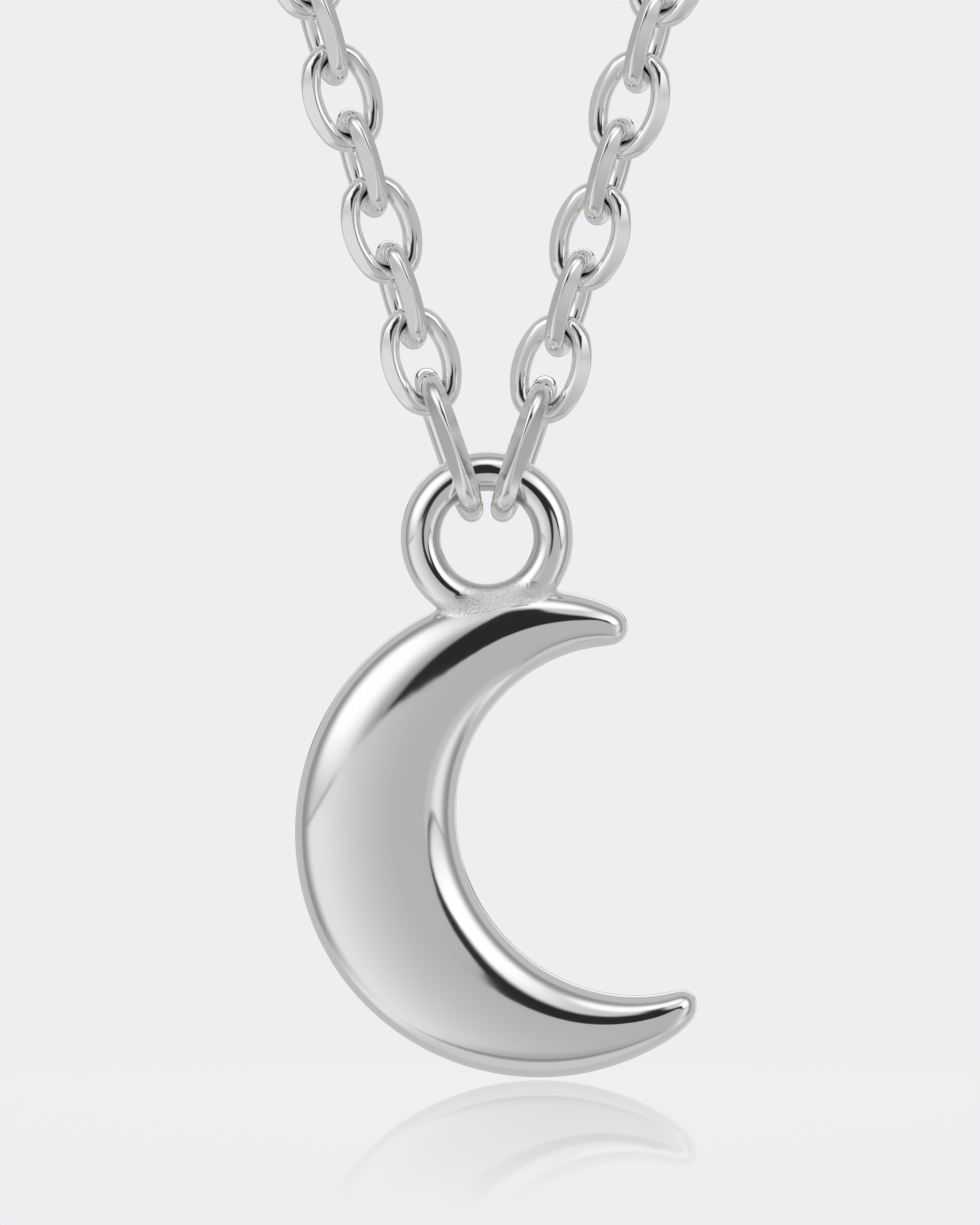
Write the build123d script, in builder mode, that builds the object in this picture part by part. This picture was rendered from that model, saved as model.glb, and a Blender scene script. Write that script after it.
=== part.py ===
from build123d import *
import math
import os

# Moon charm necklace, in millimetres. The whole loop hangs in the XZ plane: +Z is up, the front of the
# charm faces -Y, and the origin is the middle of the clasp at the back of the neck, where it is held up.

# Crescent: two circles whose centres lie on one axis, puffed to the same depth in front and behind
crescent_radius = 6.12
bite_radius = 4.395
bite_offset = 2.35
axis_angle = 10.6
crescent_thickness = 2.1
section_pole = 1.4
upper_horn_angle = 110.4
lower_horn_angle = 109.2
round_share = 0.5523

# Ring of round wire, soldered on top of the crescent
ring_mean_radius = 1.66
ring_wire = 0.99
ring_sink = 0.29
ring_angle = 10.1
solder_fillet = 0.25

# Cable chain: oval links of round wire with four flats cut at 45 degrees. side_length is one half of the
# chain, between the middles of its first and last links, before it is rounded to whole links.
link_wire = 0.5
link_width = 2.03
link_pitch = 1.72
link_gap = 0.105
link_end_radius = 0.64
flat_share = 0.66
chain_twist_angle = 17.0
chain_angle = 16.6
side_length = 194.4

# Long end links, which hook the chain through the ring
end_link_wire = 0.58
end_link_width = 3.0
end_link_end_radius = 1.18
end_link_length = 4.05
end_link_angle = 19.0
end_link_twist_angle = 4.6
end_link_side = 0.385
ring_gap = 0.102
end_link_gap = 0.14
right_drop = 0.2

# Plain clasp, measured between the middles of its two end rims
clasp_length = 6.0
clasp_rim = 0.5
clasp_gap = 0.18
clasp_eye_hole = 1.2
clasp_slot_length = 1.9
clasp_slot_height = 1.3
clasp_body_height = 3.2
clasp_body_depth = 1.5
clasp_rim_depth = 0.42

quarter_turn = 90
half_turn = 180

os.makedirs("parts", exist_ok=True)


def sine(angle):
    return math.sin(math.radians(angle))


def cosine(angle):
    return math.cos(math.radians(angle))


# Places, worked up from the ring. Lengths along a chain are measured from the middle of its first link.
link_length = link_pitch + 2 * link_wire + link_gap
first_link_seat = (link_length - link_wire) / 2 - (link_wire + end_link_wire) / 2 - end_link_gap
last_link_seat = (link_length - link_wire) / 2 - (link_wire + clasp_rim) / 2 - clasp_gap
bow_reach = ring_mean_radius - (ring_wire + end_link_wire) / 2 - ring_gap
bow_height = math.sqrt(bow_reach**2 - end_link_side**2)
end_link_span = end_link_length - end_link_wire

first_link_side = end_link_side + end_link_span * sine(end_link_angle) + first_link_seat * sine(chain_angle)
first_link_height = bow_height + end_link_span * cosine(end_link_angle) + first_link_seat * cosine(chain_angle)

# The loop: a straight run up from each first link, then one arc on each side, level at the clasp
links_per_side = 1 + round(side_length / link_pitch)
clasp_reach = (clasp_length - right_drop) / 2
chain_run = (links_per_side - 1) * link_pitch + last_link_seat
arc_turn = math.radians(quarter_turn + chain_angle)
loop_radius = (chain_run - (clasp_reach - first_link_side) / sine(chain_angle)) / (
    cosine(chain_angle) / sine(chain_angle) + arc_turn
)
straight_run = chain_run - loop_radius * arc_turn
first_link_z = -loop_radius * (1 + sine(chain_angle)) - straight_run * cosine(chain_angle)
ring_z = first_link_z - first_link_height
crescent_reach = crescent_radius + ring_mean_radius - ring_sink
crescent_x = crescent_reach * sine(ring_angle)
crescent_z = ring_z - crescent_reach * cosine(ring_angle)

# Sections of the crescent fan out about a pole on its axis. turn runs from 0 at the upper horn's tip to 180
# at the lower one's, so that they crowd together towards the blunt tips. outer_in, bite_in: how far the
# outline lies inside the outer circle and the bite's circle, as shares of their radii. thick: share of the
# thickness. crest: where the thickest line lies, as a share of the way in from the outer edge.
sections = [
    {"turn": 4, "outer_in": 0.081, "bite_in": -0.025, "thick": 0.16, "crest": 0.50},
    {"turn": 12, "outer_in": 0.044, "bite_in": 0.017, "thick": 0.42, "crest": 0.50},
    {"turn": 20, "outer_in": 0.028, "bite_in": 0.025, "thick": 0.57, "crest": 0.50},
    {"turn": 30, "outer_in": 0.016, "bite_in": 0.016, "thick": 0.67, "crest": 0.51},
    {"turn": 40, "outer_in": 0.006, "bite_in": 0.008, "thick": 0.75, "crest": 0.53},
    {"turn": 50, "outer_in": 0.0, "bite_in": 0.001, "thick": 0.82, "crest": 0.55},
    {"turn": 60, "outer_in": -0.002, "bite_in": -0.003, "thick": 0.89, "crest": 0.56},
    {"turn": 70, "outer_in": -0.001, "bite_in": -0.004, "thick": 0.94, "crest": 0.57},
    {"turn": 80, "outer_in": 0.001, "bite_in": 0.0, "thick": 0.98, "crest": 0.57},
    {"turn": 90, "outer_in": 0.001, "bite_in": 0.004, "thick": 1.0, "crest": 0.57},
    {"turn": 100, "outer_in": -0.001, "bite_in": 0.005, "thick": 0.98, "crest": 0.57},
    {"turn": 110, "outer_in": -0.001, "bite_in": 0.003, "thick": 0.94, "crest": 0.57},
    {"turn": 120, "outer_in": 0.0, "bite_in": -0.004, "thick": 0.89, "crest": 0.57},
    {"turn": 130, "outer_in": 0.0, "bite_in": -0.013, "thick": 0.82, "crest": 0.56},
    {"turn": 140, "outer_in": 0.001, "bite_in": -0.021, "thick": 0.75, "crest": 0.54},
    {"turn": 150, "outer_in": 0.001, "bite_in": -0.026, "thick": 0.67, "crest": 0.52},
    {"turn": 160, "outer_in": 0.005, "bite_in": -0.028, "thick": 0.57, "crest": 0.50},
    {"turn": 168, "outer_in": 0.021, "bite_in": -0.035, "thick": 0.42, "crest": 0.50},
    {"turn": 176, "outer_in": 0.057, "bite_in": -0.070, "thick": 0.16, "crest": 0.50},
]


def section_angle(turn):
    """Angle from the crescent's axis, counted from the opening up, back and round to the opening again."""
    span = upper_horn_angle if turn < quarter_turn else lower_horn_angle
    return half_turn - span * cosine(turn)


def circle_reach(angle, centre, radius):
    """Distance from the pole to a circle whose centre lies on the axis, in the direction of angle."""
    return centre * cosine(angle) + math.sqrt(radius**2 - (centre * sine(angle)) ** 2)


def crescent_section(row):
    """One closed section, square to the front, made of four quarter-oval curves."""
    angle = section_angle(row["turn"])
    outer = circle_reach(angle, -section_pole, crescent_radius) - row["outer_in"] * crescent_radius
    inner = circle_reach(angle, bite_offset - section_pole, bite_radius)
    inner -= row["bite_in"] * bite_radius
    crest = outer + (inner - outer) * row["crest"]
    half = row["thick"] * crescent_thickness / 2
    heading = angle + axis_angle
    pole = (crescent_x + section_pole * cosine(axis_angle), 0, crescent_z + section_pole * sine(axis_angle))
    across = (cosine(heading), 0, sine(heading))
    plane = Plane(origin=pole, x_dir=across, z_dir=(sine(heading), 0, -cosine(heading)))
    outer_handle = crest + (outer - crest) * round_share
    inner_handle = crest - (crest - inner) * round_share
    rise = half * round_share
    with BuildSketch(plane) as section:
        with BuildLine():
            Bezier((outer, 0), (outer, rise), (outer_handle, half), (crest, half))
            Bezier((crest, half), (inner_handle, half), (inner, rise), (inner, 0))
            Bezier((inner, 0), (inner, -rise), (inner_handle, -half), (crest, -half))
            Bezier((crest, -half), (outer_handle, -half), (outer, -rise), (outer, 0))
        make_face()
    return section.sketch


# The charm: lofted crescent, ring of round wire, and the solder's fillet where they meet
with BuildPart() as moon_charm:
    loft(sections=[crescent_section(row) for row in sections])
    with Locations(Plane(origin=(0, 0, ring_z), x_dir=(0, 0, 1), z_dir=(0, -1, 0))):
        Torus(ring_mean_radius, ring_wire / 2)
    joint_edges = [
        edge
        for edge in moon_charm.edges()
        if edge.geom_type != GeomType.CIRCLE
        and (edge.center() - Vector(0, 0, ring_z)).length < ring_mean_radius + ring_wire
    ]
    fillet(joint_edges, solder_fillet)
moon_charm.part.label = "moon_charm"
export_step(moon_charm.part, "parts/moon_charm.step")


def cut_link(length, width, wire, end_radius):
    """An oval link of round wire, lying in its own XY plane along X, with four flats cut on it."""
    half_length = (length - wire) / 2
    half_width = (width - wire) / 2
    end_x = half_length - end_radius
    side_radius = (end_x**2 + half_width**2 - end_radius**2) / (2 * (half_width - end_radius))
    end_turn = math.degrees(math.atan2(side_radius - half_width, end_x))
    side_turn = half_turn - 2 * end_turn
    flat_width = flat_share * wire
    flat_reach = half_width + math.sqrt(2 * ((wire / 2) ** 2 - (flat_width / 2) ** 2))
    with BuildPart() as link:
        with BuildLine() as oval:
            CenterArc((end_x, 0), end_radius, 0, end_turn)
            CenterArc((0, half_width - side_radius), side_radius, end_turn, side_turn)
            CenterArc((-end_x, 0), end_radius, half_turn - end_turn, 2 * end_turn)
            CenterArc((0, side_radius - half_width), side_radius, half_turn + end_turn, side_turn)
            CenterArc((end_x, 0), end_radius, -end_turn, end_turn)
        with BuildSketch(Plane(origin=(half_length, 0, 0), z_dir=(0, 1, 0))):
            Circle(wire / 2)
        sweep(path=oval.line)
        flat_square = flat_reach * math.sqrt(2)
        Box(length + wire, flat_square, flat_square, rotation=(quarter_turn / 2, 0, 0), mode=Mode.INTERSECT)
    return link.part


def link_place(side, point, lean, turn):
    """Where a link lies: side is -1 left or 1 right, point is its middle in the XZ plane, lean is the
    chain's angle from upright, and turn is 0 for a link seen from the front and 90 for one seen edge-on."""
    along = Vector(side * sine(lean), 0, cosine(lean))
    outward = Vector(side * cosine(lean), 0, -sine(lean))
    front = Vector(0, -1, 0)
    across = outward * cosine(turn) + front * sine(turn)
    return Plane(origin=(point[0], 0, point[1]), x_dir=along, z_dir=along.cross(across)).location


def chain_point(side, distance):
    """The point and the lean of one side's chain, at a distance from its first link."""
    if distance < straight_run:
        x = first_link_side + distance * sine(chain_angle)
        z = first_link_z + distance * cosine(chain_angle)
        return (side * x, z), chain_angle
    lean = chain_angle - math.degrees((distance - straight_run) / loop_radius)
    x = clasp_reach + loop_radius * cosine(lean)
    z = -loop_radius - loop_radius * sine(lean)
    return (side * x, z), lean


# Long end links: from inside the ring's top up to the first link on each side
end_links = {}
for name, side, drop in (("left", -1, 0.0), ("right", 1, right_drop)):
    low = (end_link_side, ring_z + bow_height)
    seat = first_link_seat + drop
    high = (
        first_link_side - seat * sine(chain_angle),
        first_link_z - seat * cosine(chain_angle),
    )
    span = math.hypot(high[0] - low[0], high[1] - low[1])
    lean = math.degrees(math.atan2(high[0] - low[0], high[1] - low[1]))
    middle = (side * (low[0] + high[0]) / 2, (low[1] + high[1]) / 2)
    link = cut_link(span + end_link_wire, end_link_width, end_link_wire, end_link_end_radius)
    end_links[name] = link_place(side, middle, lean, quarter_turn + end_link_twist_angle) * link
    end_links[name].label = "end_link_" + name
    export_step(end_links[name], "parts/end_link_" + name + ".step")

# The two halves of the chain: every second link is turned a quarter, and the whole chain is twisted
chain_link = cut_link(link_length, link_width, link_wire, link_end_radius)
chains = {}
for name, side, drop in (("left", -1, 0.0), ("right", 1, right_drop)):
    places = []
    for count in range(links_per_side):
        point, lean = chain_point(side, count * link_pitch - drop)
        places.append(link_place(side, point, lean, chain_twist_angle + quarter_turn * (count % 2)))
    chains[name] = Compound(label="chain_" + name, children=[place * chain_link for place in places])
    export_step(chains[name], "parts/chain_" + name + ".step")

# The clasp: one plain closed piece, an eye at its left end and a slotted hook body at its right end, with
# both end rims thin enough to pass through the last links
clasp_left = -clasp_reach - clasp_rim / 2
clasp_right = clasp_left + clasp_length + clasp_rim
eye_radius = clasp_eye_hole / 2 + clasp_rim
eye_x = clasp_left + eye_radius
hook_radius = clasp_slot_height / 2 + clasp_rim
hook_x = clasp_right - hook_radius
slot_x = clasp_right - clasp_rim - clasp_slot_length / 2
body_x = (eye_x + eye_radius + slot_x) / 2
rim_run = clasp_rim * 1.6
body_run = clasp_length / 3
with BuildPart() as clasp:
    with BuildSketch(Plane.XZ):
        with BuildLine():
            Spline(
                (eye_x, eye_radius),
                (body_x, clasp_body_height / 2),
                (hook_x, hook_radius),
                tangents=[(1, 0), (1, 0)],
            )
            Line((hook_x, hook_radius), (hook_x, -hook_radius))
            Spline(
                (hook_x, -hook_radius),
                (body_x, -clasp_body_height / 2),
                (eye_x, -eye_radius),
                tangents=[(-1, 0), (-1, 0)],
            )
            Line((eye_x, -eye_radius), (eye_x, eye_radius))
        make_face()
        with Locations((eye_x, 0)):
            Circle(eye_radius)
        with Locations((hook_x, 0)):
            Circle(hook_radius)
        with Locations((eye_x, 0)):
            Circle(clasp_eye_hole / 2, mode=Mode.SUBTRACT)
        with Locations((slot_x, 0)):
            SlotOverall(clasp_slot_length, clasp_slot_height, mode=Mode.SUBTRACT)
    extrude(amount=clasp_body_depth / 2, both=True)
    with BuildSketch(Plane.XY):
        with BuildLine():
            upper = Polyline(
                (clasp_left, 0),
                (clasp_left, clasp_rim_depth / 2),
                (clasp_left + rim_run, clasp_rim_depth / 2),
                (clasp_left + body_run, clasp_body_depth / 2),
                (clasp_right - body_run, clasp_body_depth / 2),
                (clasp_right - rim_run, clasp_rim_depth / 2),
                (clasp_right, clasp_rim_depth / 2),
                (clasp_right, 0),
            )
            mirror(upper, about=Plane.XZ)
        make_face()
    extrude(amount=clasp_body_height, both=True, mode=Mode.INTERSECT)
clasp.part.label = "clasp"
export_step(clasp.part, "parts/clasp.step")

print("links per side", links_per_side, "loop radius", round(loop_radius, 2), "ring at z", round(ring_z, 2))
print("hinge at z", round(ring_z + math.sqrt(ring_mean_radius**2 - end_link_side**2), 3))
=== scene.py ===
import functools
import math

import bmesh
import bpy
import numpy as np
from mathutils import Matrix, Vector


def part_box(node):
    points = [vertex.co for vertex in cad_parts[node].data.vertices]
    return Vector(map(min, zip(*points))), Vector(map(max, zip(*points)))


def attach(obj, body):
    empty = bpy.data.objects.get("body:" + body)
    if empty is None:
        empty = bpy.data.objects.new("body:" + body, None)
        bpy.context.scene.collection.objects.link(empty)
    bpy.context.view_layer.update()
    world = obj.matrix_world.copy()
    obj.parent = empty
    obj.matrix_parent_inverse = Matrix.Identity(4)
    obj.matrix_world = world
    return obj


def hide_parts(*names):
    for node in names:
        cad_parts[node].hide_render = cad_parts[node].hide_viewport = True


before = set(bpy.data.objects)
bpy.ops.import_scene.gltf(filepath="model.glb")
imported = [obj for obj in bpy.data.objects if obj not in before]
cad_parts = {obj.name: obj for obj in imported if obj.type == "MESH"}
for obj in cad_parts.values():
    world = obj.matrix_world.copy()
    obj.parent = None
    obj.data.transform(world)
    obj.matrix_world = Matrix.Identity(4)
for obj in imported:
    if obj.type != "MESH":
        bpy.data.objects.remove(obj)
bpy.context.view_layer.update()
mm = 0.001


def add_object(name, data):
    """An object with this mesh or camera, linked to the scene."""
    made = bpy.data.objects.new(name, data)
    bpy.context.scene.collection.objects.link(made)
    return made


def applied_mesh(made):
    """The mesh of an object with its modifiers applied."""
    bpy.context.view_layer.update()
    changed = made.evaluated_get(bpy.context.evaluated_depsgraph_get())
    return bpy.data.meshes.new_from_object(changed)


def add_node(tree, kind, **values):
    """A new node with some of its inputs set, each by its name, with _ for a space."""
    node = tree.nodes.new(kind)
    for name, value in values.items():
        node.inputs[name.replace("_", " ")].default_value = value
    return node


def feed(tree, node, values):
    """The result of a node whose inputs, in their order, are numbers or other nodes' results."""
    for socket, value in zip(node.inputs, values):
        if isinstance(value, (int, float)):
            socket.default_value = value
        else:
            tree.links.new(value, socket)
    return node.outputs[0]


def add_math(tree, operation, *values):
    node = tree.nodes.new("ShaderNodeMath")
    node.operation = operation
    return feed(tree, node, values)


# Camera. A long lens stands level with the charm, straight in front of it, so that the necklace's plane is
# seen without slant. The frame is twice as wide as the crescent and ends at the seventh link of each chain.
ring_mean_radius = 1.66
ring_wire = 0.99
ring_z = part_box("moon_charm")[1].z / mm - ring_mean_radius - ring_wire / 2
view_centre_x = 0.075
view_centre_z = ring_z - 1.875
view_height = 30.625
view_distance = 450.0
sensor_height = 36.0

camera_data = bpy.data.cameras.new("camera")
camera_data.sensor_fit = "VERTICAL"
camera_data.sensor_height = sensor_height
camera_data.sensor_width = sensor_height
camera_data.lens = sensor_height * view_distance / view_height
camera_data.clip_start = 0.01
camera_data.clip_end = 50.0
camera = add_object("camera", camera_data)
camera.location = (view_centre_x * mm, -view_distance * mm, view_centre_z * mm)
camera.rotation_euler = (math.radians(90), 0, 0)
bpy.context.scene.camera = camera
bpy.context.scene.view_settings.view_transform = "Standard"
bpy.context.scene.view_settings.look = "None"

# Studio. A tent of pale cloth stands round the necklace. Two wide soft lights hang in its front half, left
# and right above the lens, with a smaller one between them, and a black flag over the lens draws the dark
# bands. Only the silver mirrors the tent; the camera sees a plain pale backdrop behind the floor.
backdrop_tone = (237, 238, 240)
light_tone = 254
roof_tone = 200
roof_shade_tone = 150
front_tone = 178
front_shade_tone = 164
left_card_tone = 224
right_card_tone = 226
right_hem_tone = 190
flag_tone = 40
hem_tone = 140
seam_tone = 146
rear_tone = 187
floor_tone = 198
tent_gain = 1.06

# All these shapes are laid out by the lean of a mirror that would show them to the lens: how far it faces
# aside, to the right, and how far up. The foot line is where the lights and the flag end; below it is the
# plain front cloth. The flag reaches from there up to its own line.
foot_line = [
    (-1.0, 0.0),
    (-0.6, 0.02),
    (-0.45, 0.06),
    (-0.3, 0.095),
    (-0.15, 0.11),
    (-0.05, 0.083),
    (0.0, 0.063),
    (0.04, 0.054),
    (0.08, 0.065),
    (0.12, 0.1),
    (0.16, 0.14),
    (0.2, 0.155),
    (0.24, 0.142),
    (0.3, 0.105),
    (0.36, 0.06),
    (0.44, 0.0),
    (0.68, 0.09),
    (1.0, 0.12),
]
flag_line = [
    (-1.0, -0.2),
    (-0.2, 0.05),
    (-0.14, 0.13),
    (-0.09, 0.24),
    (-0.04, 0.42),
    (0.0, 0.42),
    (0.05, 0.32),
    (0.1, 0.26),
    (0.14, 0.25),
    (0.2, 0.24),
    (0.25, 0.23),
    (0.29, 0.21),
    (0.32, 0.18),
    (0.345, 0.12),
    (0.38, 0.06),
    (1.0, -0.2),
]


def linear(tone):
    """The linear strength of a screen tone from 0 to 255."""
    share = tone / 255
    return share / 12.92 if share <= 0.04045 else ((share + 0.055) / 1.055) ** 2.4


world = bpy.data.worlds.new("studio")
bpy.context.scene.world = world
world.use_nodes = True
tent = world.node_tree
tent.nodes.clear()
tent_math = functools.partial(add_math, tent)


def soft_step(value, low, high, most=1.0):
    """0 below low and the most above high, smooth between them; low may also be the greater."""
    node = tent.nodes.new("ShaderNodeMapRange")
    node.interpolation_type = "SMOOTHSTEP"
    tent.links.new(value, node.inputs["Value"])
    node.inputs["From Min"].default_value = low
    node.inputs["From Max"].default_value = high
    node.inputs["To Max"].default_value = most
    return node.outputs["Result"]


def both(first, second):
    return tent_math("MULTIPLY", first, second)


def hypotenuse(first, second):
    return tent_math("SQRT", tent_math("ADD", both(first, first), both(second, second)))


def height_of(line, aside):
    """The height of a line drawn through a few points."""
    node = tent.nodes.new("ShaderNodeFloatCurve")
    drawn = node.mapping
    drawn.clip_min_x = drawn.clip_min_y = -1.0
    curve = drawn.curves[0]
    for point, place in zip(curve.points, (line[0], line[-1])):
        point.location = place
    for place in line[1:-1]:
        curve.points.new(*place)
    for point in curve.points:
        point.handle_type = "AUTO_CLAMPED"
    drawn.update()
    tent.links.new(aside, node.inputs["Value"])
    return node.outputs[0]


def laid_over(under, tone, cover):
    """A tone laid over what is under it, as far as cover, from 0 to 1, says."""
    top = linear(tone) if isinstance(tone, (int, float)) else tone
    return tent_math("MULTIPLY_ADD", tent_math("SUBTRACT", top, under), cover, under)


def in_oval(place, middle, half_size, low, high):
    """1 well inside an oval and 0 outside it. low and high count from 0 in its middle to 1 on its rim."""
    across, along = (
        tent_math("DIVIDE", tent_math("SUBTRACT", value, centre), half)
        for value, centre, half in zip(place, middle, half_size)
    )
    return soft_step(hypotenuse(across, along), low, high)


ray = tent.nodes.new("ShaderNodeTexCoord")
parts = tent.nodes.new("ShaderNodeSeparateXYZ")
tent.links.new(ray.outputs["Generated"], parts.inputs[0])


def mirror_lean(facing):
    """How far aside and up a mirror leans that shows this place to a lens in front (-1) or behind (1)."""
    reach = tent_math("MULTIPLY_ADD", parts.outputs[1], 2.0 * facing, 2.0)
    reach = tent_math("SQRT", tent_math("MAXIMUM", reach, 1e-6))
    return tent_math("DIVIDE", parts.outputs[0], reach), tent_math("DIVIDE", parts.outputs[2], reach)


aside, up = mirror_lean(-1)
lean = hypotenuse(aside, up)
far_aside = tent_math("ABSOLUTE", aside)
over_foot = tent_math("SUBTRACT", up, height_of(foot_line, aside))
over_flag = tent_math("SUBTRACT", up, height_of(flag_line, aside))

# The front cloth, with a pale card at each side, and the roof, with its three lights
low_left = tent_math("MULTIPLY_ADD", up, 0.2, aside)
front = laid_over(linear(front_tone), left_card_tone, soft_step(low_left, 0.1, -0.5))
front = laid_over(front, right_hem_tone, soft_step(aside, 0.33, 0.38))
front = laid_over(front, right_card_tone, soft_step(aside, 0.4, 0.5))
front = laid_over(front, front_shade_tone, in_oval((aside, up), (0.05, -0.52), (0.3, 0.14), 1.2, 0.2))
roof_shade = in_oval((aside, up), (-0.1, 0.17), (0.2, 0.22), 1.1, 0.4)
roof = laid_over(linear(roof_tone), roof_shade_tone, roof_shade)
for middle, half_size in (
    ((-0.39, 0.34), (0.25, 0.23)),
    ((0.42, 0.3), (0.24, 0.25)),
    ((0.06, 0.55), (0.16, 0.12)),
):
    roof = laid_over(roof, light_tone, in_oval((aside, up), middle, half_size, 1.35, 0.5))
light = laid_over(front, roof, soft_step(over_foot, -0.008, 0.012))
flag = both(soft_step(over_foot, -0.006, 0.008), soft_step(over_flag, 0.05, -0.03))
light = laid_over(light, flag_tone, flag)

# Seams and hems, which draw thin dark lines: at the lights' outer feet, where the cloth meets the floor, and
# where the tent's front half ends. Behind that are its plain rear and the open backdrop.
hem = soft_step(tent_math("ABSOLUTE", over_foot), 0.014, 0.004, 0.6)
light = laid_over(light, hem_tone, both(hem, soft_step(far_aside, 0.28, 0.42)))
floor_seam = soft_step(tent_math("ABSOLUTE", tent_math("ADD", up, 0.52)), 0.035, 0.008)
light = laid_over(light, hem_tone, both(floor_seam, soft_step(far_aside, 0.45, 0.1)))
light = laid_over(light, floor_tone, both(soft_step(up, -0.54, -0.58), soft_step(far_aside, 0.5, 0.3)))
light = laid_over(light, seam_tone, both(soft_step(lean, 0.54, 0.69), soft_step(up, -0.5, -0.25)))
light = laid_over(light, rear_tone, soft_step(lean, 0.715, 0.775))
light = laid_over(light, backdrop_tone[1], soft_step(lean, 0.93, 0.965))

# The back wall, for the necklace's back: a wide light over a dark gap, plainer cloth below, and an open
# patch straight behind the charm, where the floor mirrors the backdrop.
behind = mirror_lean(1)
back_wall = laid_over(linear(front_tone), right_card_tone, soft_step(behind[0], 0.02, 0.3))
back_wall = laid_over(back_wall, light_tone, soft_step(behind[1], 0.09, 0.17))
back_wall = laid_over(back_wall, flag_tone, in_oval(behind, (0.0, 0.09), (0.26, 0.045), 1.2, 0.8))
back_wall = laid_over(back_wall, backdrop_tone[1], in_oval(behind, (0.0, 0.0), (0.045, 0.04), 1.3, 0.9))
light = laid_over(light, back_wall, soft_step(hypotenuse(*behind), 0.36, 0.26))

tent_light = add_node(tent, "ShaderNodeBackground", Strength=tent_gain)
tent.links.new(light, tent_light.inputs["Color"])
backdrop_colour = [linear(tone) for tone in backdrop_tone] + [1.0]
backdrop = add_node(tent, "ShaderNodeBackground", Color=backdrop_colour)
ray_kind = tent.nodes.new("ShaderNodeLightPath")
seen = tent.nodes.new("ShaderNodeMixShader")
tent.links.new(ray_kind.outputs["Is Camera Ray"], seen.inputs[0])
tent.links.new(tent_light.outputs[0], seen.inputs[1])
tent.links.new(backdrop.outputs[0], seen.inputs[2])
tent_out = tent.nodes.new("ShaderNodeOutputWorld")
tent.links.new(seen.outputs[0], tent_out.inputs["Surface"])

# Moon charm. A puffed crescent of sterling silver, cast and polished to a mirror, with a ring of round
# wire soldered on top of it. The solder fills the corner where the two meet, and the ring is filed a little
# flatter there. Painted shade darkens the inside of the ring.
crescent_radius = 6.12
bite_radius = 4.395
bite_offset = 2.35
axis_angle = 10.6
crescent_thickness = 2.1
section_pole = 1.4
upper_horn_angle = 110.4
lower_horn_angle = 109.2
ring_sink = 0.29
ring_angle = 10.1
ring_crest_in = 0.05
ring_lean = 0.075
foot_trim = 0.4
foot_trim_reach = 0.8
solder_blend = 0.12
solder_reach = 0.15
solder_rise = 0.36
# The next three numbers place and set the painted shade on the inside of the ring
ring_shade_reach = 1.36
ring_shade_edge = 0.08
ring_painted_shade = 0.6
ring_out = np.array([-math.sin(math.radians(ring_angle)), math.cos(math.radians(ring_angle))])
crescent_centre = np.array([0, ring_z]) - (crescent_radius + ring_mean_radius - ring_sink) * ring_out
ring_foot = crescent_centre + crescent_radius * ring_out

# turn runs from the upper horn's tip to the lower one's. outer_in, bite_in: how far the outline lies
# inside its two circles. thick and crest: shares of the thickness and of the way in from the outer edge.
crescent_sections = [
    {"turn": 4, "outer_in": 0.081, "bite_in": -0.025, "thick": 0.16, "crest": 0.50},
    {"turn": 12, "outer_in": 0.044, "bite_in": 0.017, "thick": 0.42, "crest": 0.50},
    {"turn": 20, "outer_in": 0.028, "bite_in": 0.025, "thick": 0.57, "crest": 0.50},
    {"turn": 30, "outer_in": 0.016, "bite_in": 0.016, "thick": 0.67, "crest": 0.51},
    {"turn": 40, "outer_in": 0.006, "bite_in": 0.008, "thick": 0.75, "crest": 0.53},
    {"turn": 50, "outer_in": 0.0, "bite_in": 0.001, "thick": 0.82, "crest": 0.55},
    {"turn": 60, "outer_in": -0.002, "bite_in": -0.003, "thick": 0.89, "crest": 0.56},
    {"turn": 70, "outer_in": -0.001, "bite_in": -0.004, "thick": 0.94, "crest": 0.57},
    {"turn": 80, "outer_in": 0.001, "bite_in": 0.0, "thick": 0.98, "crest": 0.57},
    {"turn": 90, "outer_in": 0.001, "bite_in": 0.004, "thick": 1.0, "crest": 0.57},
    {"turn": 100, "outer_in": -0.001, "bite_in": 0.005, "thick": 0.98, "crest": 0.57},
    {"turn": 110, "outer_in": -0.001, "bite_in": 0.003, "thick": 0.94, "crest": 0.57},
    {"turn": 120, "outer_in": 0.0, "bite_in": -0.004, "thick": 0.89, "crest": 0.57},
    {"turn": 130, "outer_in": 0.0, "bite_in": -0.013, "thick": 0.82, "crest": 0.56},
    {"turn": 140, "outer_in": 0.001, "bite_in": -0.021, "thick": 0.75, "crest": 0.54},
    {"turn": 150, "outer_in": 0.001, "bite_in": -0.026, "thick": 0.67, "crest": 0.52},
    {"turn": 160, "outer_in": 0.005, "bite_in": -0.028, "thick": 0.57, "crest": 0.50},
    {"turn": 168, "outer_in": 0.021, "bite_in": -0.035, "thick": 0.42, "crest": 0.50},
    {"turn": 176, "outer_in": 0.057, "bite_in": -0.070, "thick": 0.16, "crest": 0.50},
]


def circle_reach(angle, centre, radius):
    """Distance from the pole to a circle whose centre lies on the axis, in the direction of angle."""
    return centre * np.cos(angle) + np.sqrt(radius**2 - (centre * np.sin(angle)) ** 2)


def section_angle(turn):
    """Angle from the crescent's axis, counted from its opening up, back and round to the opening again."""
    span = np.where(turn < 90, upper_horn_angle, lower_horn_angle)
    return np.radians(180 - span * np.cos(np.radians(turn)))


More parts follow.
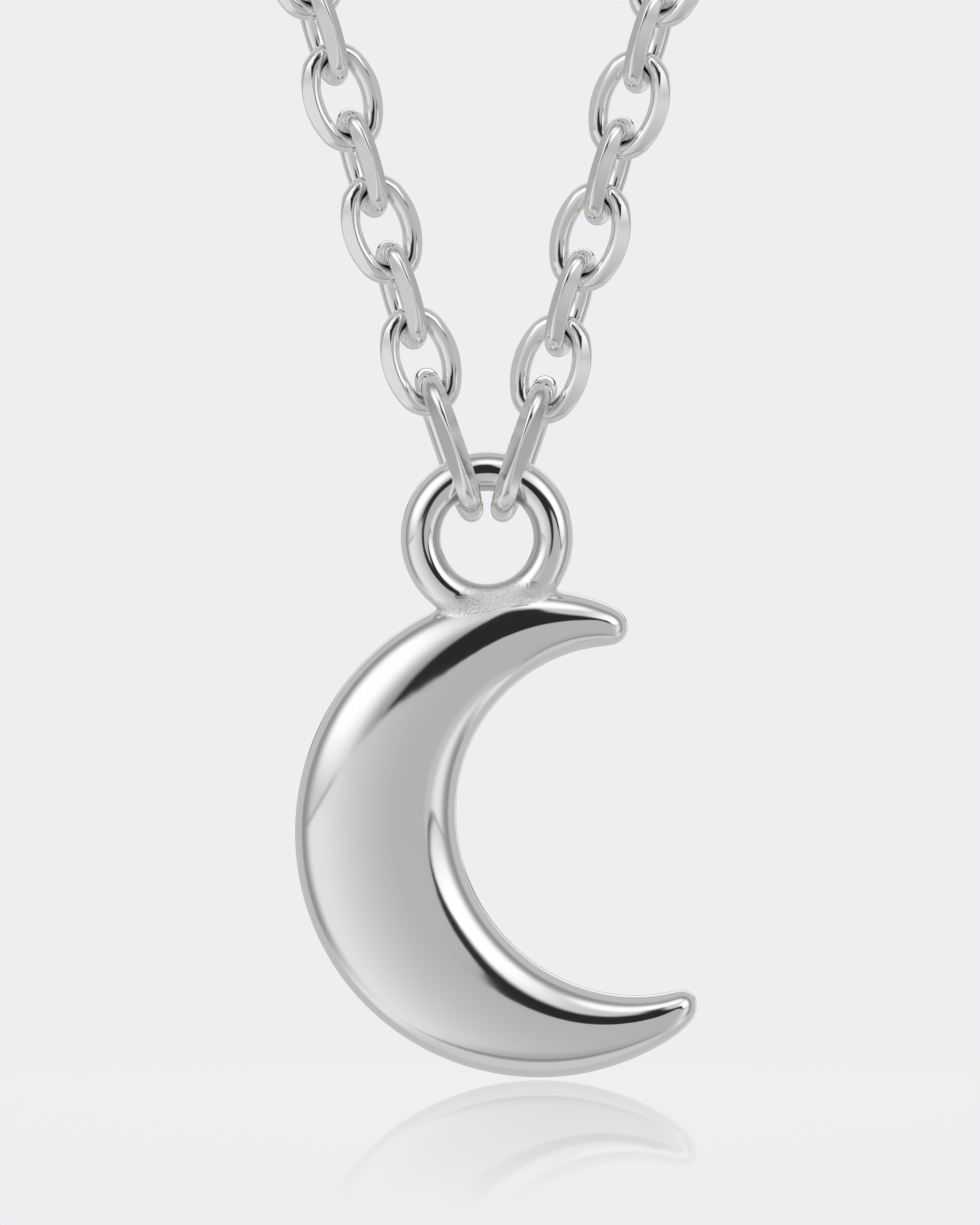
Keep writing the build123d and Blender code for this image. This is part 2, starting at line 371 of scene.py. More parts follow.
class SmoothRun:
    """A value that runs smoothly through the sections, and goes on mirrored for four sections past each tip:
    as it is (sign 1) or with its sign changed (-1)."""

    def __init__(self, turns, values, sign):
        self.knots = np.concatenate([-turns[3::-1], turns, 360 - turns[:-5:-1]])
        self.values = np.concatenate([sign * values[3::-1], values, sign * values[:-5:-1]])
        count = len(self.knots)
        steps = np.diff(self.knots)
        slopes = np.diff(self.values) / steps
        system = np.eye(count)
        right = np.zeros(count)
        for row in range(1, count - 1):
            before, after = steps[row - 1], steps[row]
            system[row, row - 1 : row + 2] = before, 2 * (before + after), after
            right[row] = 6 * (slopes[row] - slopes[row - 1])
        self.bends = np.linalg.solve(system, right)

    def at(self, turn):
        place = np.clip(np.searchsorted(self.knots, turn) - 1, 0, len(self.knots) - 2)
        step = self.knots[place + 1] - self.knots[place]
        far = (turn - self.knots[place]) / step
        near = 1 - far
        bend = (near**3 - near) * self.bends[place] + (far**3 - far) * self.bends[place + 1]
        return near * self.values[place] + far * self.values[place + 1] + bend * step**2 / 6


def section_values(name):
    return np.array([float(row[name]) for row in crescent_sections])


turns = section_values("turn")
section_angles = section_angle(turns)
outer_edges = circle_reach(section_angles, -section_pole, crescent_radius)
outer_edges -= section_values("outer_in") * crescent_radius
inner_edges = circle_reach(section_angles, bite_offset - section_pole, bite_radius)
inner_edges -= section_values("bite_in") * bite_radius
middle_run = SmoothRun(turns, (outer_edges + inner_edges) / 2, 1)
breadth_run = SmoothRun(turns, (outer_edges - inner_edges) / 2, -1)
depth_run = SmoothRun(turns, section_values("thick") * crescent_thickness / 2, -1)
crest_run = SmoothRun(turns, section_values("crest"), 1)
axis_way = np.array([math.cos(math.radians(axis_angle)), math.sin(math.radians(axis_angle))])
pole = crescent_centre + section_pole * axis_way


def section_at(turn):
    """The middle, half breadth and crest of the section there, each as a distance from the pole."""
    middle, breadth = middle_run.at(turn), breadth_run.at(turn)
    return middle, breadth, middle + breadth * (1 - 2 * crest_run.at(turn))


def crescent_points(turn, round_angle):
    """Points of the puffed skin: turn says which section, round_angle goes round it from its outer edge."""
    middle, breadth, crest = section_at(turn)
    side = np.cos(round_angle)
    reach_in = np.where(side > 0, middle + breadth - crest, crest - middle + breadth)
    reach_out = crest + reach_in * side
    heading = section_angle(turn) + math.radians(axis_angle)
    return np.stack(
        [
            pole[0] + reach_out * np.cos(heading),
            -depth_run.at(turn) * np.sin(round_angle),
            pole[1] + reach_out * np.sin(heading),
        ],
        axis=-1,
    )


def outside_oval(across, depth, half_across, half_depth):
    """About how far outside an oval with these half sizes a point lies."""
    size = np.hypot(across / half_across, depth / half_depth)
    steepness = np.hypot(across / half_across**2, depth / half_depth**2)
    return (size - 1) * size / np.maximum(steepness, 1e-6)


def crescent_field(points):
    """About how far points lie outside the crescent's skin."""
    east, north = points[:, 0] - pole[0], points[:, 2] - pole[1]
    angle = np.degrees(np.arctan2(north, east)) - axis_angle
    angle = np.where(angle < 0, angle + 360, angle)
    span = np.where(angle < 180, upper_horn_angle, lower_horn_angle)
    near_tip = 0.999
    turn = np.degrees(np.arccos(np.clip((180 - angle) / span, -near_tip, near_tip)))
    middle, breadth, crest = section_at(turn)
    off_crest = np.hypot(east, north) - crest
    half = np.where(off_crest > 0, middle + breadth - crest, crest - middle + breadth)
    return outside_oval(off_crest, points[:, 1], half, depth_run.at(turn))


def foot_nearness(points):
    """1 at the foot of the ring, where it meets the crescent's edge, and smoothly less away from it."""
    off_foot = np.hypot(points[:, 0] - ring_foot[0], points[:, 2] - ring_foot[1])
    return np.exp(-((off_foot / foot_trim_reach) ** 2))


def ring_field(points):
    """How far points lie outside the ring's wire, which leans back a little, is fullest inside its middle
    and is filed flatter at its foot."""
    off_crest = np.hypot(points[:, 0], points[:, 2] - ring_z) - ring_mean_radius + ring_crest_in
    depth = points[:, 1] - ring_lean * (points[:, 2] - ring_z)
    half = ring_wire / 2 + np.where(off_crest > 0, ring_crest_in, -ring_crest_in)
    return outside_oval(off_crest, depth, half, ring_wire / 2 / (1 + foot_trim * foot_nearness(points)))


def charm_field(points):
    """How far points lie outside the whole charm, its solder included."""
    moon, ring = crescent_field(points), ring_field(points)
    corner = np.maximum(solder_blend - np.abs(moon - ring), 0) / solder_blend
    return np.minimum(moon, ring) - corner**2 * solder_blend / 4


def field_slope(points, step=0.002):
    slopes = []
    for axis in range(3):
        shift = np.zeros(3)
        shift[axis] = step
        slopes.append((charm_field(points + shift) - charm_field(points - shift)) / (2 * step))
    return np.stack(slopes, axis=-1)


def grid_object(name, points, closed_first, closed_second):
    """A skin of quads through a grid of points, in millimetres."""
    rows, columns = points.shape[:2]
    faces = []
    for row in range(rows if closed_first else rows - 1):
        for column in range(columns if closed_second else columns - 1):
            after, beside = (row + 1) % rows, (column + 1) % columns
            faces.append(
                (
                    row * columns + column,
                    after * columns + column,
                    after * columns + beside,
                    row * columns + beside,
                )
            )
    mesh = bpy.data.meshes.new(name)
    mesh.from_pydata([tuple(point) for point in points.reshape(-1, 3) * mm], [], faces)
    work = bmesh.new()
    work.from_mesh(mesh)
    bmesh.ops.remove_doubles(work, verts=work.verts, dist=1e-7)
    bmesh.ops.recalc_face_normals(work, faces=work.faces)
    work.to_mesh(mesh)
    work.free()
    return add_object(name, mesh)


section_count = 280
skin_count = 128
section_turns, round_angles = np.meshgrid(
    np.linspace(0, 180, section_count), np.arange(skin_count) * 2 * np.pi / skin_count, indexing="ij"
)
moon = grid_object("moon", crescent_points(section_turns, round_angles), False, True)

ring_count = 200
wire_count = 64
ring_turns, wire_turns = np.meshgrid(
    np.arange(ring_count) * 2 * np.pi / ring_count,
    np.arange(wire_count) * 2 * np.pi / wire_count,
    indexing="ij",
)
half_wire = ring_wire / 2 + np.where(np.cos(wire_turns) > 0, ring_crest_in, -ring_crest_in)
wire_reach = ring_mean_radius - ring_crest_in + half_wire * np.cos(wire_turns)
ring_rise = wire_reach * np.sin(ring_turns)
ring_points = np.stack(
    [
        wire_reach * np.cos(ring_turns),
        ring_wire / 2 * np.sin(wire_turns) + ring_lean * ring_rise,
        ring_z + ring_rise,
    ],
    axis=-1,
)
ring = grid_object("ring", ring_points, True, True)

joined = moon.modifiers.new("solder", "BOOLEAN")
joined.operation = "UNION"
joined.solver = "EXACT"
joined.object = ring
charm_mesh = applied_mesh(moon)
charm_mesh.name = "moon_charm_polished"
bpy.data.objects.remove(moon)
bpy.data.objects.remove(ring)

# The joined skin is pulled onto the solder's rounded corner and the ring's filed foot, in a few steps
skin = np.zeros(len(charm_mesh.vertices) * 3)
charm_mesh.vertices.foreach_get("co", skin)
skin = skin.reshape(-1, 3) / mm
pulls = 4
least_nearness = 0.001
for _ in range(pulls):
    near_joint = (crescent_field(skin) < solder_blend) & (ring_field(skin) < solder_blend)
    near_joint |= (foot_nearness(skin) > least_nearness) & (np.abs(charm_field(skin)) < ring_wire / 4)
    slope = field_slope(skin[near_joint])
    over = charm_field(skin[near_joint])
    skin[near_joint] -= slope * (over / (slope**2).sum(axis=1))[:, None]
charm_mesh.vertices.foreach_set("co", (skin * mm).ravel())
charm_mesh.update()

# Where the solder's grain shows, and the painted shade on the inside of the ring
off_seam = np.maximum(np.abs(crescent_field(skin)) / solder_rise, np.abs(ring_field(skin)) / solder_reach)
soldered = np.clip(2 - 2 * off_seam, 0, 1)
charm_mesh.attributes.new("solder", "FLOAT", "POINT").data.foreach_set("value", soldered)
inside_ring = (ring_shade_reach - np.hypot(skin[:, 0], skin[:, 2] - ring_z)) / ring_shade_edge
painted_shade = ring_painted_shade * np.clip(inside_ring, 0, 1)
charm_mesh.attributes.new("painted_shade", "FLOAT", "POINT").data.foreach_set("value", painted_shade)
for face in charm_mesh.polygons:
    face.use_smooth = True
polished_charm = add_object("moon_charm_polished", charm_mesh)

# Polished silver: near white, a little duller from place to place, with the faint waves that a polishing
# wheel leaves. The links' planed flats are satin, with painted shade on the flats of every second link; the
# inner sides of the ring and of the links' bows carry painted shade, and the solder is granular.
haze_range = (0.3, 0.7)
haze_colours = ((0.935, 0.935, 0.926, 1.0), (0.955, 0.955, 0.946, 1.0))
haze_roughness = (0.05, 0.09)
satin_and_shade_colour = (0.5, 0.5, 0.495, 1.0)
flat_dullness = 0.06
# Painted shade on the flats of every second link, the turned ones that hang edge-on
turned_flat_painted_shade = 0.36
flat_roughness = 0.12
solder_roughness = 0.14
silver = bpy.data.materials.new("polished silver")
silver.use_nodes = True
silver_tree = silver.node_tree
silver_links = silver_tree.links
silver_math = functools.partial(add_math, silver_tree)
polish = silver_tree.nodes["Principled BSDF"]
polish.inputs["Metallic"].default_value = 1.0
place = silver_tree.nodes.new("ShaderNodeTexCoord")


def silver_noise(scale, detail):
    noise = add_node(silver_tree, "ShaderNodeTexNoise", Scale=scale, Detail=detail)
    silver_links.new(place.outputs["Object"], noise.inputs["Vector"])
    return noise.outputs["Fac"]


def silver_share(name):
    """A share from 0 to 1 that a mesh carries under this name. It is 0 on meshes without it."""
    share = silver_tree.nodes.new("ShaderNodeAttribute")
    share.attribute_name = name
    return share.outputs["Fac"]


haze = silver_noise(scale=350.0, detail=3.0)
tint = silver_tree.nodes.new("ShaderNodeValToRGB")
for element, position, colour in zip(tint.color_ramp.elements, haze_range, haze_colours):
    element.position = position
    element.color = colour
silver_links.new(haze, tint.inputs["Fac"])
planed_here = silver_share("planed")
# The flats' satin, with painted shade on the turned links' flats, and painted shade inside the ring and the
# bows
flat_satin_and_shade = silver_math("MULTIPLY_ADD", silver_share("turned"), turned_flat_painted_shade, flat_dullness)
satin_and_painted_shade = silver_math("MULTIPLY_ADD", flat_satin_and_shade, planed_here, silver_share("painted_shade"))
satin_and_shade = silver_tree.nodes.new("ShaderNodeMix")
satin_and_shade.data_type = "RGBA"
satin_and_shade.inputs["B"].default_value = satin_and_shade_colour
silver_links.new(satin_and_painted_shade, satin_and_shade.inputs["Factor"])
silver_links.new(tint.outputs["Color"], satin_and_shade.inputs["A"])
silver_links.new(satin_and_shade.outputs["Result"], polish.inputs["Base Color"])

hazy = add_node(
    silver_tree,
    "ShaderNodeMapRange",
    From_Min=haze_range[0],
    From_Max=haze_range[1],
    To_Min=haze_roughness[0],
    To_Max=haze_roughness[1],
)
silver_links.new(haze, hazy.inputs["Value"])
solder_here = silver_share("solder")
rough = silver_math("MULTIPLY_ADD", solder_here, solder_roughness, hazy.outputs["Result"])
rough = silver_math("MULTIPLY_ADD", planed_here, flat_roughness, rough)
silver_links.new(rough, polish.inputs["Roughness"])

grains = silver_math("MULTIPLY", silver_noise(scale=20000.0, detail=4.0), solder_here)
grit = add_node(silver_tree, "ShaderNodeBump", Strength=0.75, Distance=0.00004)
silver_links.new(grains, grit.inputs["Height"])
waves = add_node(silver_tree, "ShaderNodeBump", Strength=0.5, Distance=0.000006)
silver_links.new(silver_noise(scale=900.0, detail=2.0), waves.inputs["Height"])
silver_links.new(grit.outputs["Normal"], waves.inputs["Normal"])
silver_links.new(waves.outputs["Normal"], polish.inputs["Normal"])

charm_mesh.materials.clear()
charm_mesh.materials.append(silver)
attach(polished_charm, "charm")
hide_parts("moon_charm")

# End links. Two long links of heavier wire hook the chains through the ring, and hang edge-on to the front.
# Like every link they are bent from round silver wire and soldered, and have four flats cut along them. The
# right one is a little shorter, and its chain hangs lower by as much.
link_wire = 0.5
flat_share = 0.75
flat_rim = 0.05
# The next five numbers place and set the painted shade inside the links' bows
bow_start = 0.65
bow_full = 0.9
bow_inside_start = 0.125
bow_inside_full = 0.75
bow_painted_shade = 0.7
plain_crease_angle = 40
flat_crease_angle = 18
end_link_wire = 0.58
end_link_width = 3.0
end_link_end_radius = 1.18
end_link_span = 3.47
end_link_flat_run = 0.82
end_link_angle = 19.0
end_link_twist_angle = 4.6
end_link_side = 0.385
ring_gap = 0.102
right_drop = 0.2
chain_angle = 16.6


def oval_link(
    name, length, width, wire, end_radius, flat_run, end_steps, side_steps, ridge_steps, back_steps
):
    """A link in its own XY plane, along X: two tight bows and two long shallow arcs of round wire. Each leg
    has two flats planed at 45 degrees along its outer side, which meet in a narrow rounded ridge at mid
    length and run out into the round wire at the bows. With one ridge step it is plain, with sharp edges."""
    half_length = (length - wire) / 2
    half_width = (width - wire) / 2
    end_x = half_length - end_radius
    side_radius = (end_x**2 + half_width**2 - end_radius**2) / (2 * (half_width - end_radius))
    side_off = side_radius - half_width
    end_turn = math.atan2(side_off, end_x)
    arcs = [
        ((end_x, 0), end_radius, -end_turn, end_turn, end_steps),
        ((0, -side_off), side_radius, end_turn, math.pi - end_turn, side_steps),
        ((-end_x, 0), end_radius, math.pi - end_turn, math.pi + end_turn, end_steps),
        ((0, side_off), side_radius, math.pi + end_turn, 2 * math.pi - end_turn, side_steps),
    ]
    plain = ridge_steps == 1
    most_run_out = 0.5 if plain else 0.999
    across_flat = np.array([0.0, 1.0] if plain else [0.0, flat_rim, 1 - flat_rim, 1.0])
    diagonal = math.sqrt(0.5)
    rows = []
    for centre, radius, start, stop, steps in arcs:
        for step in range(steps):
            angle = start + (stop - start) * step / steps
            middle_x = centre[0] + radius * math.cos(angle)
            run_out = min(most_run_out, (middle_x / (flat_run * half_length)) ** 2)
            flat_depth = flat_share + (1 - flat_share) * run_out
            ridge_radius = (flat_depth / diagonal - 1) / (1 / diagonal - 1)
            sweep = np.linspace(-math.pi / 4, math.pi / 4, ridge_steps + 1)
            ridge = ridge_radius * np.stack([np.cos(sweep), np.sin(sweep)], axis=-1) + [1 - ridge_radius, 0]
            flat_end = math.pi / 4 + math.acos(flat_depth)
            back_turns = np.linspace(flat_end, 2 * math.pi - flat_end, back_steps + 1)
            back = np.stack([np.cos(back_turns), np.sin(back_turns)], axis=-1)
            upper_flat = ridge[-1] + np.outer(across_flat, back[0] - ridge[-1])
            lower_flat = back[-1] + np.outer(across_flat, ridge[0] - back[-1])
            section = np.concatenate([ridge[:-1], upper_flat[:-1], back[:-1], lower_flat[:-1]]) * wire / 2
            out = radius + section[:, 0]
            x, y = centre[0] + out * math.cos(angle), centre[1] + out * math.sin(angle)
            rows.append(np.stack([x, y, section[:, 1]], axis=-1))
    rows = np.array(rows)
    link = grid_object(name, rows, True, True)
    for face in link.data.polygons:
        face.use_smooth = True
    link.data.set_sharp_from_angle(angle=math.radians(plain_crease_angle if plain else flat_crease_angle))

    # Where the flats are, and how much painted shade each face gets inside the bows
    strips = len(across_flat) - 1
    planed = np.zeros((len(rows), ridge_steps + 2 * strips + back_steps))
    planed[:, ridge_steps : ridge_steps + strips] = 1
    planed[:, -strips:] = 1
    link.data.attributes.new("planed", "FLOAT", "FACE").data.foreach_set("value", planed.ravel())
    at_bow = np.abs(rows.mean(axis=1)[:, 0]) / half_length
    at_bow = np.clip((at_bow - bow_start) / (bow_full - bow_start), 0, 1)
    round_wire = np.linspace(0, 2 * math.pi, planed.shape[1], endpoint=False)
    inside_bow = (-np.cos(round_wire) - bow_inside_start) / (bow_inside_full - bow_inside_start)
    inside_bow = np.clip(inside_bow, 0, 1)
    painted_shade = bow_painted_shade * np.outer(at_bow, inside_bow)
    link.data.attributes.new("painted_shade", "FLOAT", "FACE").data.foreach_set("value", painted_shade.ravel())
    return link


def link_place(side, x, z, lean, turn):
    """Places a link: lean is its angle from upright; turn is 0 where it faces the front and 90 edge-on."""
    lean, turn = math.radians(lean), math.radians(turn)
    along = Vector((side * math.sin(lean), 0, math.cos(lean)))
    outward = Vector((side * math.cos(lean), 0, -math.sin(lean)))
    across = outward * math.cos(turn) + Vector((0, -1, 0)) * math.sin(turn)
    turned = Matrix((along, across, along.cross(across))).transposed().to_4x4()
    return Matrix.Translation((x * mm, 0, z * mm)) @ turned


bow_reach = ring_mean_radius - (ring_wire + end_link_wire) / 2 - ring_gap
low_bow_z = ring_z + math.sqrt(bow_reach**2 - end_link_side**2)
high_bow_side = end_link_side + end_link_span * math.sin(math.radians(end_link_angle))
high_bow_z = low_bow_z + end_link_span * math.cos(math.radians(end_link_angle))
for name, side, drop in (("left", -1, 0.0), ("right", 1, right_drop)):
    top_side = high_bow_side - drop * math.sin(math.radians(chain_angle))
    top_z = high_bow_z - drop * math.cos(math.radians(chain_angle))
    span = math.hypot(top_side - end_link_side, top_z - low_bow_z)
    lean = math.degrees(math.atan2(top_side - end_link_side, top_z - low_bow_z))
    end_link = oval_link(
        "end_link_" + name + "_polished",
        span + end_link_wire,
        end_link_width,
        end_link_wire,
        end_link_end_radius,
        end_link_flat_run,
        end_steps=40,
        side_steps=24,
        ridge_steps=6,
        back_steps=28,
    )
    middle_x = side * (end_link_side + top_side) / 2
    middle_z = (low_bow_z + top_z) / 2
    end_link.data.transform(link_place(side, middle_x, middle_z, lean, 90 + end_link_twist_angle))
    end_link.data.materials.append(silver)
    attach(end_link, "necklace")
    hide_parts("end_link_" + name)

# Chains. Each half of the necklace is a cable chain of small oval links, every second one turned a quarter,
# from the end link straight up and then round one arc to the clasp. The whole chain is twisted a little. The
# loop's sizes follow from the length of one side, as in the solids.
link_width = 2.03
link_end_radius = 0.64
link_flat_run = 0.86
link_pitch = 1.72
link_gap = 0.105
end_link_gap = 0.14
chain_twist_angle = 17.0
side_length = 194.4
clasp_length = 6.0
clasp_rim = 0.5
clasp_gap = 0.18
near_links = 8
link_length = link_pitch + 2 * link_wire + link_gap
half_loop = (link_length - link_wire) / 2
first_link_seat = half_loop - (link_wire + end_link_wire) / 2 - end_link_gap
last_link_seat = half_loop - (link_wire + clasp_rim) / 2 - clasp_gap
chain_sine, chain_cosine = math.sin(math.radians(chain_angle)), math.cos(math.radians(chain_angle))
first_link_side = high_bow_side + first_link_seat * chain_sine
first_link_z = high_bow_z + first_link_seat * chain_cosine
links_per_side = 1 + round(side_length / link_pitch)
chain_run = (links_per_side - 1) * link_pitch + last_link_seat
clasp_reach = (clasp_length - right_drop) / 2
arc_turn = math.radians(90 + chain_angle)
loop_radius = (chain_run - (clasp_reach - first_link_side) / chain_sine) / (
    chain_cosine / chain_sine + arc_turn
)
straight_run = chain_run - loop_radius * arc_turn

# The links out of view are plain: twelve steps round, and wire of six sides, two of them the flats
link_sizes = (link_length, link_width, link_wire, link_end_radius, link_flat_run)
near_link = oval_link("near_link", *link_sizes, end_steps=28, side_steps=18, ridge_steps=6, back_steps=28)
far_link = oval_link("far_link", *link_sizes, end_steps=4, side_steps=2, ridge_steps=1, back_steps=3)
chain_tree = bpy.data.node_groups.new("cable chain", "GeometryNodeTree")
chain_sizes = {}
for label, kind in (
    ("Near link", "NodeSocketObject"),
    ("Far link", "NodeSocketObject"),
    ("Near links", "NodeSocketInt"),
    ("Links", "NodeSocketInt"),
    ("Side", "NodeSocketFloat"),
    ("Pitch", "NodeSocketFloat"),
    ("Drop", "NodeSocketFloat"),
    ("First link side", "NodeSocketFloat"),
    ("First link height", "NodeSocketFloat"),
    ("Chain angle", "NodeSocketFloat"),
    ("Straight run", "NodeSocketFloat"),
    ("Loop radius", "NodeSocketFloat"),
    ("Twist", "NodeSocketFloat"),
    ("Silver", "NodeSocketMaterial"),
):
    socket = chain_tree.interface.new_socket(label, in_out="INPUT", socket_type=kind)
    chain_sizes[label] = socket.identifier
chain_tree.interface.new_socket("Chain", in_out="OUTPUT", socket_type="NodeSocketGeometry")
size = chain_tree.nodes.new("NodeGroupInput").outputs
chain_math = functools.partial(add_math, chain_tree)


def chain_vector(x, y, z):
    return feed(chain_tree, chain_tree.nodes.new("ShaderNodeCombineXYZ"), (x, y, z))


# Each link's place on the loop, counted from the end link: straight up first, then round the arc
count = chain_tree.nodes.new("GeometryNodeInputIndex").outputs[0]
run = chain_math("SUBTRACT", chain_math("MULTIPLY", count, size["Pitch"]), size["Drop"])
arc = chain_math("MAXIMUM", chain_math("SUBTRACT", run, size["Straight run"]), 0.0)
rise = chain_math("MINIMUM", run, size["Straight run"])
lean = chain_math("SUBTRACT", size["Chain angle"], chain_math("DIVIDE", arc, size["Loop radius"]))
sine, cosine = chain_math("SINE", lean), chain_math("COSINE", lean)
start_sine = chain_math("SINE", size["Chain angle"])
start_cosine = chain_math("COSINE", size["Chain angle"])
arc_side = chain_math("MULTIPLY", chain_math("SUBTRACT", cosine, start_cosine), size["Loop radius"])
arc_rise = chain_math("MULTIPLY", chain_math("SUBTRACT", start_sine, sine), size["Loop radius"])
off_side = chain_math("MULTIPLY_ADD", rise, start_sine, size["First link side"])
off_side = chain_math("ADD", off_side, arc_side)
height = chain_math("MULTIPLY_ADD", rise, start_cosine, size["First link height"])
height = chain_math("ADD", height, arc_rise)
link_point = chain_vector(chain_math("MULTIPLY", off_side, size["Side"]), 0.0, height)
odd = chain_math("MODULO", count, 2.0)
turn = chain_math("MULTIPLY_ADD", odd, math.pi / 2, size["Twist"])
turn_cosine = chain_math("COSINE", turn)
along = chain_vector(chain_math("MULTIPLY", sine, size["Side"]), 0.0, cosine)
across = chain_vector(
    chain_math("MULTIPLY", chain_math("MULTIPLY", cosine, size["Side"]), turn_cosine),
    chain_math("MULTIPLY", chain_math("SINE", turn), -1.0),
    chain_math("MULTIPLY", chain_math("MULTIPLY", sine, -1.0), turn_cosine),
)
way = chain_tree.nodes.new("FunctionNodeAxesToRotation")
way.primary_axis = "X"
way.secondary_axis = "Y"
chain_tree.links.new(along, way.inputs[0])
chain_tree.links.new(across, way.inputs[1])

# The links on their places; every second one is marked as turned
row = chain_tree.nodes.new("GeometryNodePoints")
chain_tree.links.new(size["Links"], row.inputs["Count"])
chain_tree.links.new(link_point, row.inputs["Position"])
turned = add_node(chain_tree, "GeometryNodeStoreNamedAttribute", Name="turned")
turned.data_type = "FLOAT"
chain_tree.links.new(row.outputs[0], turned.inputs["Geometry"])
chain_tree.links.new(odd, turned.inputs["Value"])
all_links = chain_tree.nodes.new("GeometryNodeJoinGeometry")
is_near = chain_math("LESS_THAN", count, size["Near links"])
for label, chosen in (("Near link", is_near), ("Far link", chain_math("SUBTRACT", 1.0, is_near))):
    source = chain_tree.nodes.new("GeometryNodeObjectInfo")
    chain_tree.links.new(size[label], source.inputs["Object"])
    laid = chain_tree.nodes.new("GeometryNodeInstanceOnPoints")
    chain_tree.links.new(turned.outputs[0], laid.inputs["Points"])
    chain_tree.links.new(chosen, laid.inputs["Selection"])
    chain_tree.links.new(source.outputs["Geometry"], laid.inputs["Instance"])
    chain_tree.links.new(way.outputs[0], laid.inputs["Rotation"])
    chain_tree.links.new(laid.outputs["Instances"], all_links.inputs[0])
real_links = chain_tree.nodes.new("GeometryNodeRealizeInstances")
chain_tree.links.new(all_links.outputs[0], real_links.inputs[0])
finish = chain_tree.nodes.new("GeometryNodeSetMaterial")
chain_tree.links.new(real_links.outputs[0], finish.inputs["Geometry"])
chain_tree.links.new(size["Silver"], finish.inputs["Material"])
chain_out = chain_tree.nodes.new("NodeGroupOutput")
chain_tree.links.new(finish.outputs[0], chain_out.inputs[0])

for name, side, drop in (("left", -1.0, 0.0), ("right", 1.0, right_drop)):
    chain = add_object("chain_" + name + "_polished", bpy.data.meshes.new("chain_" + name))
    strung = chain.modifiers.new("links", "NODES")
    strung.node_group = chain_tree
    for label, value in (
        ("Near link", near_link),
        ("Far link", far_link),
        ("Near links", near_links),
        ("Links", links_per_side),
        ("Side", side),
        ("Pitch", link_pitch * mm),
        ("Drop", drop * mm),
        ("First link side", first_link_side * mm),
        ("First link height", first_link_z * mm),
        ("Chain angle", math.radians(chain_angle)),
        ("Straight run", straight_run * mm),
        ("Loop radius", loop_radius * mm),
        ("Twist", math.radians(chain_twist_angle)),
        ("Silver", silver),
    ):
        strung[chain_sizes[label]] = value
    chain_mesh = applied_mesh(chain)
    chain.modifiers.clear()
    chain.data = chain_mesh
    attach(chain, "necklace")
    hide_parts("chain_" + name)
bpy.data.objects.remove(near_link)
bpy.data.objects.remove(far_link)

# Clasp. One plain closed piece of cast silver at the back of the neck, with an eye at one end and a slotted
# hook body at the other. Its edges are eased by tumbling before it is polished.
clasp_ease = 0.09
ease_steps = 3
flat_angle = 1
edge_angle = 35
crease_angle = 40
clasp_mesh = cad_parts["clasp"].data.copy()
clasp_mesh.name = "clasp_polished"
work = bmesh.new()
work.from_mesh(clasp_mesh)
bmesh.ops.remove_doubles(work, verts=work.verts, dist=1e-6)
bmesh.ops.dissolve_limit(work, angle_limit=math.radians(flat_angle), verts=work.verts, edges=work.edges)
bmesh.ops.recalc_face_normals(work, faces=work.faces)
crisp = [
    edge
    for edge in work.edges
    if len(edge.link_faces) == 2 and edge.calc_face_angle() > math.radians(edge_angle)
]
bmesh.ops.bevel(
    work,
    geom=crisp,
    offset=clasp_ease * mm,
    offset_type="OFFSET",
    segments=ease_steps,
    profile=0.5,
    affect="EDGES",
    clamp_overlap=True,
)
for face in work.faces:
    face.smooth = True
work.to_mesh(clasp_mesh)
work.free()
clasp_mesh.set_sharp_from_angle(angle=math.radians(crease_angle))
clasp = add_object("clasp_polished", clasp_mesh)
flat_faces = clasp.modifiers.new("flat faces", "WEIGHTED_NORMAL")
flat_faces.weight = 100
flat_faces.keep_sharp = True
clasp_mesh = applied_mesh(clasp)
clasp.modifiers.clear()
clasp.data = clasp_mesh
clasp_mesh.materials.clear()
clasp_mesh.materials.append(silver)
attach(clasp, "necklace")
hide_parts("clasp")

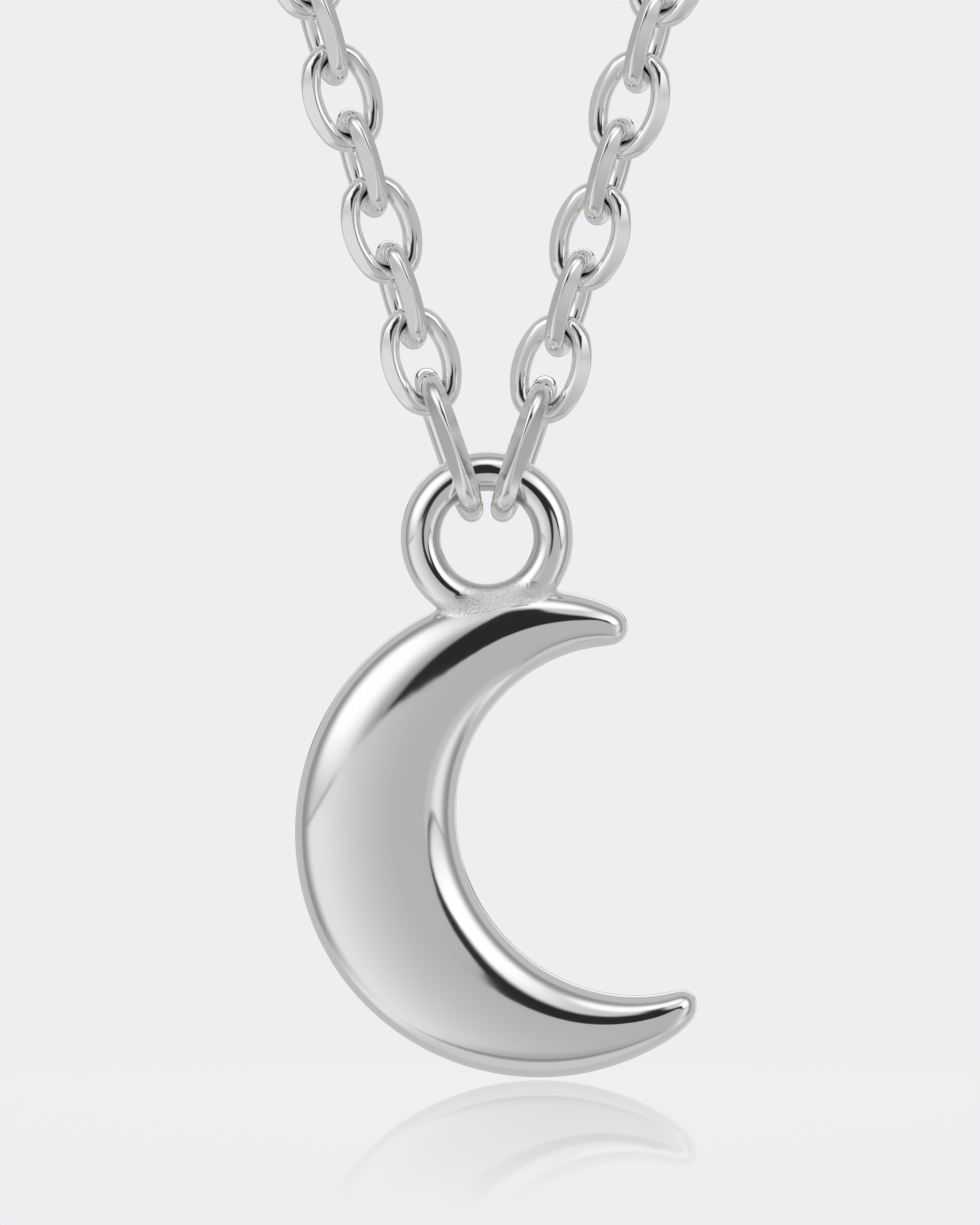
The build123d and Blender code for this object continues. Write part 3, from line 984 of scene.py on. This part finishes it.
# Floor. A plain pale sheet lies just under the charm's lowest point, in the backdrop's own tone. It is glossy
# round the charm's foot and dull further off, so the charm's weak mirror image fades out downwards.
floor_gap = 0.04
floor_size = 4.0
floor_gloss = 0.42
floor_gloss_reach = 100.0
floor_gloss_half_width = 25.0
floor_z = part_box("moon_charm")[0].z - floor_gap * mm
floor_mesh = bpy.data.meshes.new("floor")
floor_corners = [(x * floor_size, y * floor_size, floor_z) for x, y in ((-1, -1), (1, -1), (1, 1), (-1, 1))]
floor_mesh.from_pydata(floor_corners, [], [(0, 1, 2, 3)])
floor = add_object("floor", floor_mesh)
floor.visible_glossy = False
sheet = bpy.data.materials.new("pale sheet")
sheet.use_nodes = True
sheet_tree = sheet.node_tree
sheet_tree.nodes.clear()
sheet_links = sheet_tree.links
sheet_math = functools.partial(add_math, sheet_tree)
glow = add_node(sheet_tree, "ShaderNodeEmission", Color=backdrop_colour)
gloss = add_node(sheet_tree, "ShaderNodeBsdfGlossy", Color=(0.97, 0.97, 0.96, 1.0), Roughness=0.015)
spot = sheet_tree.nodes.new("ShaderNodeTexCoord")
spot_parts = sheet_tree.nodes.new("ShaderNodeSeparateXYZ")
sheet_links.new(spot.outputs["Object"], spot_parts.inputs[0])
right_of_foot, behind_foot = spot_parts.outputs["X"], spot_parts.outputs["Y"]

# The gloss reaches forward, and a quarter as far aside and to the back
narrowing = floor_gloss_reach / floor_gloss_half_width
aside_of_foot = sheet_math("MULTIPLY", right_of_foot, narrowing)
in_front_of_foot = sheet_math("MULTIPLY", behind_foot, -1.0)
behind_foot = sheet_math("MULTIPLY", behind_foot, narrowing)
off_foot = sheet_math("MAXIMUM", behind_foot, in_front_of_foot)
off_foot = sheet_math("MULTIPLY", off_foot, off_foot)
aside_of_foot = sheet_math("MULTIPLY", aside_of_foot, aside_of_foot)
away = sheet_math("SQRT", sheet_math("ADD", aside_of_foot, off_foot))
fade = add_node(
    sheet_tree,
    "ShaderNodeMapRange",
    From_Min=0.0,
    From_Max=floor_gloss_reach * mm,
    To_Min=floor_gloss,
    To_Max=0.0,
)
sheet_links.new(away, fade.inputs["Value"])
surface = sheet_tree.nodes.new("ShaderNodeMixShader")
sheet_links.new(fade.outputs["Result"], surface.inputs[0])
sheet_links.new(glow.outputs[0], surface.inputs[1])
sheet_links.new(gloss.outputs[0], surface.inputs[2])
sheet_out = sheet_tree.nodes.new("ShaderNodeOutputMaterial")
sheet_links.new(surface.outputs[0], sheet_out.inputs["Surface"])
floor_mesh.materials.append(sheet)
